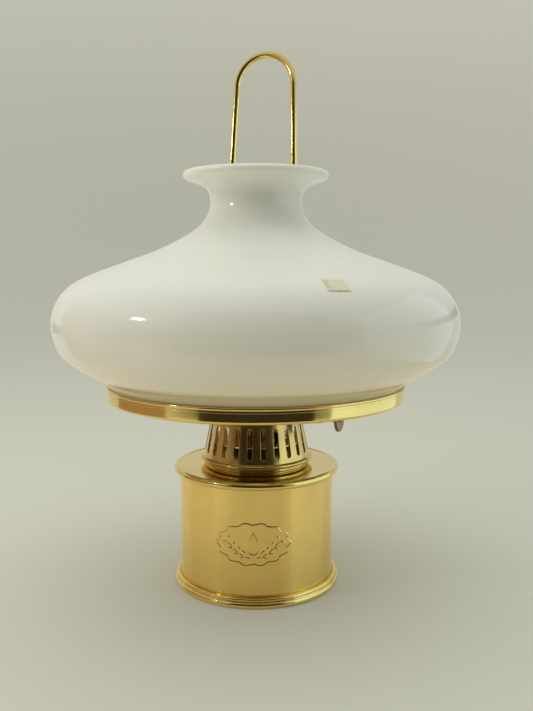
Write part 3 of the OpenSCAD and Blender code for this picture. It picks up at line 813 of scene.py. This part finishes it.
def bail_wire():
    """One bent wire whose ends are hammered flat into eyes."""
    path = bail_path()
    sides = 32
    lean = Matrix.Rotation(math.radians(-BAIL_LEAN), 4, "X")
    turn = Matrix.Rotation(math.radians(BURNER_TURN), 4, "Z") @ lean
    to_lamp = Matrix.Translation(BAIL_HINGE) @ turn
    turn = turn.to_3x3()
    shell = Shell()
    rows, normals = [], []
    for i, (x, z, thick, wide) in enumerate(path):
        x0, z0 = path[max(i - 1, 0)][:2]
        x1, z1 = path[min(i + 1, len(path) - 1)][:2]
        along = Vector((x1 - x0, 0, z1 - z0)).normalized()
        across = Vector((along.z, 0, -along.x))
        row, normal = [], []
        for k in range(sides):
            c, s = math.cos(2 * math.pi * k / sides), math.sin(2 * math.pi * k / sides)
            row.append(tuple(to_lamp @ (Vector((x, wide * s, z)) + across * thick * c)))
            normal.append(tuple(turn @ (across * (c / thick) + Vector((0, s / wide, 0))).normalized()))
        rows.append(row)
        normals.append(normal)
    for i in range(len(rows) - 1):
        shell.strip(rows[i], rows[i + 1], normals[i], normals[i + 1])
    down = [tuple(turn @ Vector((0, 0, -1)))] * sides
    shell.face(rows[0][::-1], down)
    shell.face(rows[-1], down)

    # The eyes, each a thick washer round its pin
    half = EYE_THICK / 2
    corners = ((PIN_R, -half), (EYE_R, -half), (EYE_R, half), (PIN_R, half))
    profile = soften([Vector(p) for p in corners], 0.6 * MM)
    eye = Shell()
    lathe(eye, profile, 48)
    for side in (-1, 1):
        stand = to_lamp @ Matrix.Translation((side * BAIL_FOOT, 0, 0)) @ Matrix.Rotation(math.pi / 2, 4, "Y")
        stand_turn = stand.to_3x3()
        for k, ids in enumerate(eye.faces):
            shell.face([tuple(stand @ Vector(eye.points[i])) for i in ids],
                       [tuple(stand_turn @ Vector(v)) for v in eye.normals[4 * k:4 * k + 4]])
    place(shell.build("bail_wire"), "bail", BRASS, "bail")


bail_wire()


# ---------------------------------------------------------------- label

LABEL_TURN = 21.4  # degrees from the front, towards the right
LABEL_Z = 245.8 * MM
LABEL_W = 15.5 * MM
LABEL_H = 14.8 * MM
LABEL_TILT = math.radians(-3)
LABEL_THICK = 0.12 * MM
LABEL_LIFT = 0.02 * MM
LABEL_CURL = 0.35 * MM
LABEL_COLUMNS = 16
LABEL_ROWS = 12


def border_of(grid):
    """The edge points of a grid of rows, in order round it."""
    right = [row[-1] for row in grid[1:]]
    left = [row[0] for row in grid[-2:0:-1]]
    return grid[0] + right + grid[-1][-2::-1] + left


def paper_label():
    """Small blank paper label stuck on the glass, askew, with its lower edge coming away."""
    loop = refine(drop_flat(seam("glass_shade")), 3)

    def on_glass(z, lift):
        """The point of the glass's outer side at a height, raised along the normal, and that normal."""
        crossings = [(p, q) for p, q in zip(loop, loop[1:] + loop[:1]) if min(p.y, q.y) <= z < max(p.y, q.y)]
        p, q = max(crossings, key=lambda pair: pair[0].x + pair[1].x)
        d = (q - p).normalized()
        normal = Vector((abs(d.y), -d.x if d.y > 0 else d.x))
        return p.lerp(q, (z - p.y) / (q.y - p.y)) + normal * lift, normal

    slope = on_glass(LABEL_Z, 0)[1].x
    front, back, normals = [], [], []
    for j in range(LABEL_ROWS + 1):
        v = (j / LABEL_ROWS - 0.5) * LABEL_H
        curl = LABEL_CURL * max(0, 1 - 4 * j / LABEL_ROWS) ** 2
        rows = [], [], []
        for i in range(LABEL_COLUMNS + 1):
            u = (i / LABEL_COLUMNS - 0.5) * LABEL_W
            across = u * math.cos(LABEL_TILT) - v * math.sin(LABEL_TILT)
            along = u * math.sin(LABEL_TILT) + v * math.cos(LABEL_TILT)
            low, normal = on_glass(LABEL_Z + along * slope, LABEL_LIFT + curl)
            high = low + normal * LABEL_THICK
            angle = math.radians(-90 + LABEL_TURN) + across / low.x
            for row, p in zip(rows, (high, low, normal)):
                row.append((p.x * math.cos(angle), p.x * math.sin(angle), p.y))
        for table, row in zip((front, back, normals), rows):
            table.append(row)
    flipped = [[(-a, -b, -c) for a, b, c in row] for row in normals]
    shell = Shell()
    for j in range(LABEL_ROWS):
        shell.strip(front[j], front[j + 1], normals[j], normals[j + 1], closed=False)
        shell.strip(back[j + 1], back[j], flipped[j + 1], flipped[j], closed=False)
    rim = border_of(front)
    centre = Vector(front[LABEL_ROWS // 2][LABEL_COLUMNS // 2])
    out = [tuple((Vector(p) - centre).normalized()) for p in rim]
    shell.strip(border_of(back), rim, out, out)
    obj = shell.build("paper_label")
    obj.data.materials.append(PAPER)
    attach(obj, "shade")


paper_label()


# ---------------------------------------------------------------- stage, lights and camera

BACKDROP = (0.60, 0.60, 0.53)
FLOOR_GLOW = 0.12
WALL_GLOW = 0.56
TABLE = (0.84, 0.75, 0.58)
WORLD_LEFT = (0.66, 0.63, 0.56)
WORLD_RIGHT = (0.60, 0.63, 0.59)
WORLD_FRONT = (0.16, 0.15, 0.12)
WORLD_TOP = (0.62, 0.63, 0.56)
TENT_X = 0.39
TENT_FRONT = -0.43
CAMERA_AT = (0, -0.6195, 0.2614)
CAMERA_DOWN = 7.03  # degrees
CAMERA_RIGHT = 0.76  # degrees
CAMERA_LENS = 38.97


def plain(name, rgb, rough=0.9, light=0.0):
    look = Look(name)
    look.set(look.shader, "Emission Color", colour(*rgb))
    look.set(look.shader, "Emission Strength", light)
    return look.finish(Base_Color=colour(*rgb), Roughness=rough)


def backdrop_look():
    """Matt and even: the wall glows a little, as it gets less of the light from above."""
    look = Look("backdrop")
    look.set(look.shader, "Emission Color", colour(*BACKDROP))
    glow = look.span(look.parts()[2], 0.0, 1.6, FLOOR_GLOW, WALL_GLOW)
    return look.finish(Base_Color=colour(*BACKDROP), Roughness=0.9, Emission_Strength=glow)


def seen_only_by(obj, *rays):
    for ray in ("camera", "diffuse", "glossy", "transmission", "shadow"):
        setattr(obj, "visible_" + ray, ray in rays)


def disc(name, line, material):
    shell = Shell()
    lathe(shell, line[::-1], 96, closed=False)
    obj = shell.build(name)
    obj.data.materials.append(material)
    return obj


def stage_bowl():
    """Pale floor that sweeps up into a backdrop all round."""
    flat, bend, top = 1.5, 0.9, 3.2
    line = [Vector((x, 0)) for x in (1e-4, 0.3, 0.8, flat)]
    line += [Vector((flat + bend * math.sin(a), bend - bend * math.cos(a)))
             for a in (math.pi / 2 * k / 16 for k in range(1, 17))]
    line.append(Vector((flat + bend, top)))
    seen_only_by(disc("stage_bowl", line, backdrop_look()), "camera", "transmission")


def table_top():
    """Glazed table top just below the floor, seen only in the lamp's reflections and bounced light."""
    line = [Vector((x, -1 * MM)) for x in (1e-4, 0.2, 0.45, 0.8)]
    seen_only_by(disc("table_top", line, plain("table", TABLE, rough=0.3)), "diffuse", "glossy")


def panel(name, centre, size, facing, rgb):
    """A flat panel of a light tent, which only shows in the lamp's reflections."""
    w, h = size[0] / 2, size[1] / 2
    mesh = bpy.data.meshes.new(name)
    mesh.from_pydata([(-w, -h, 0), (w, -h, 0), (w, h, 0), (-w, h, 0)], [], [(0, 1, 2, 3)])
    obj = bpy.data.objects.new(name, mesh)
    bpy.context.scene.collection.objects.link(obj)
    obj.location = centre
    obj.rotation_euler = Vector(facing).to_track_quat("Z", "Y").to_euler()
    obj.data.materials.append(plain(name, rgb, light=1.0))
    seen_only_by(obj, "glossy")


def area_light(name, centre, size, target, power, tint, glossy):
    data = bpy.data.lights.new(name, "AREA")
    data.shape = "RECTANGLE"
    data.size, data.size_y = size
    data.energy = power
    data.color = tint
    obj = bpy.data.objects.new(name, data)
    bpy.context.scene.collection.objects.link(obj)
    obj.location = centre
    obj.rotation_euler = (Vector(target) - Vector(centre)).to_track_quat("-Z", "Y").to_euler()
    obj.visible_camera = False
    obj.visible_glossy = glossy


def studio_world():
    """Soft light from above and both sides, with less from the front at eye level."""
    world = bpy.data.worlds.new("studio")
    bpy.context.scene.world = world
    world.use_nodes = True
    look = Nodes(world.node_tree, "Generated")
    x, y, z = look.parts()
    sides = look.mix(look.ease(x, -0.6, 0.6), colour(*WORLD_LEFT), colour(*WORLD_RIGHT))
    level = look.mix(look.ease(y, -0.85, -0.25), colour(*WORLD_FRONT), sides)
    sky = look.mix(look.ease(z, 0.15, 0.75), level, colour(*WORLD_TOP))
    look.set(world.node_tree.nodes["Background"], "Color", sky)


stage_bowl()
table_top()
studio_world()
panel("open_front", (0, TENT_FRONT, 0.30), (0.66, 0.60), (0, 1, 0), (0.014, 0.010, 0.006))
panel("left_wall_front", (-TENT_X, -0.33, 0.22), (0.44, 0.16), (1, 0, 0), (0.11, 0.075, 0.05))
panel("left_wall", (-TENT_X, -0.05, 0.18), (0.36, 0.40), (1, 0, 0), (0.22, 0.155, 0.105))
panel("right_wall", (TENT_X, -0.09, 0.25), (0.50, 0.48), (-1, 0, 0), (0.55, 0.66, 0.70))
panel("left_gap", (-TENT_X, 0.17, 0.18), (0.36, 0.04), (1, 0, 0), (0.12, 0.11, 0.09))
panel("right_gap", (TENT_X, 0.17, 0.25), (0.50, 0.04), (-1, 0, 0), (0.12, 0.12, 0.11))
area_light("top_light", (0, 0.1, 1.7), (1.6, 1.4), (0, 0, 0), 6, (1.0, 0.99, 0.95), False)
area_light("side_light", (-0.9, -0.2, 0.8), (0.6, 0.6), (0, 0, 0.25), 1.6, (1.0, 0.97, 0.90), False)
area_light("key_light", (-0.742, -0.378, 0.606), (0.10, 0.06), (0, 0, 0.25), 0.45, (1.0, 1.0, 0.97), True)

camera_data = bpy.data.cameras.new("camera")
camera_data.lens = CAMERA_LENS
camera_data.sensor_width = 36
camera_data.clip_start = 0.01
camera = bpy.data.objects.new("camera", camera_data)
bpy.context.scene.collection.objects.link(camera)
camera.location = CAMERA_AT
camera.rotation_euler = (math.radians(90 - CAMERA_DOWN), 0, math.radians(-CAMERA_RIGHT))
bpy.context.scene.camera = camera

bpy.context.scene.view_settings.view_transform = "Standard"
bpy.context.scene.view_settings.look = "None"
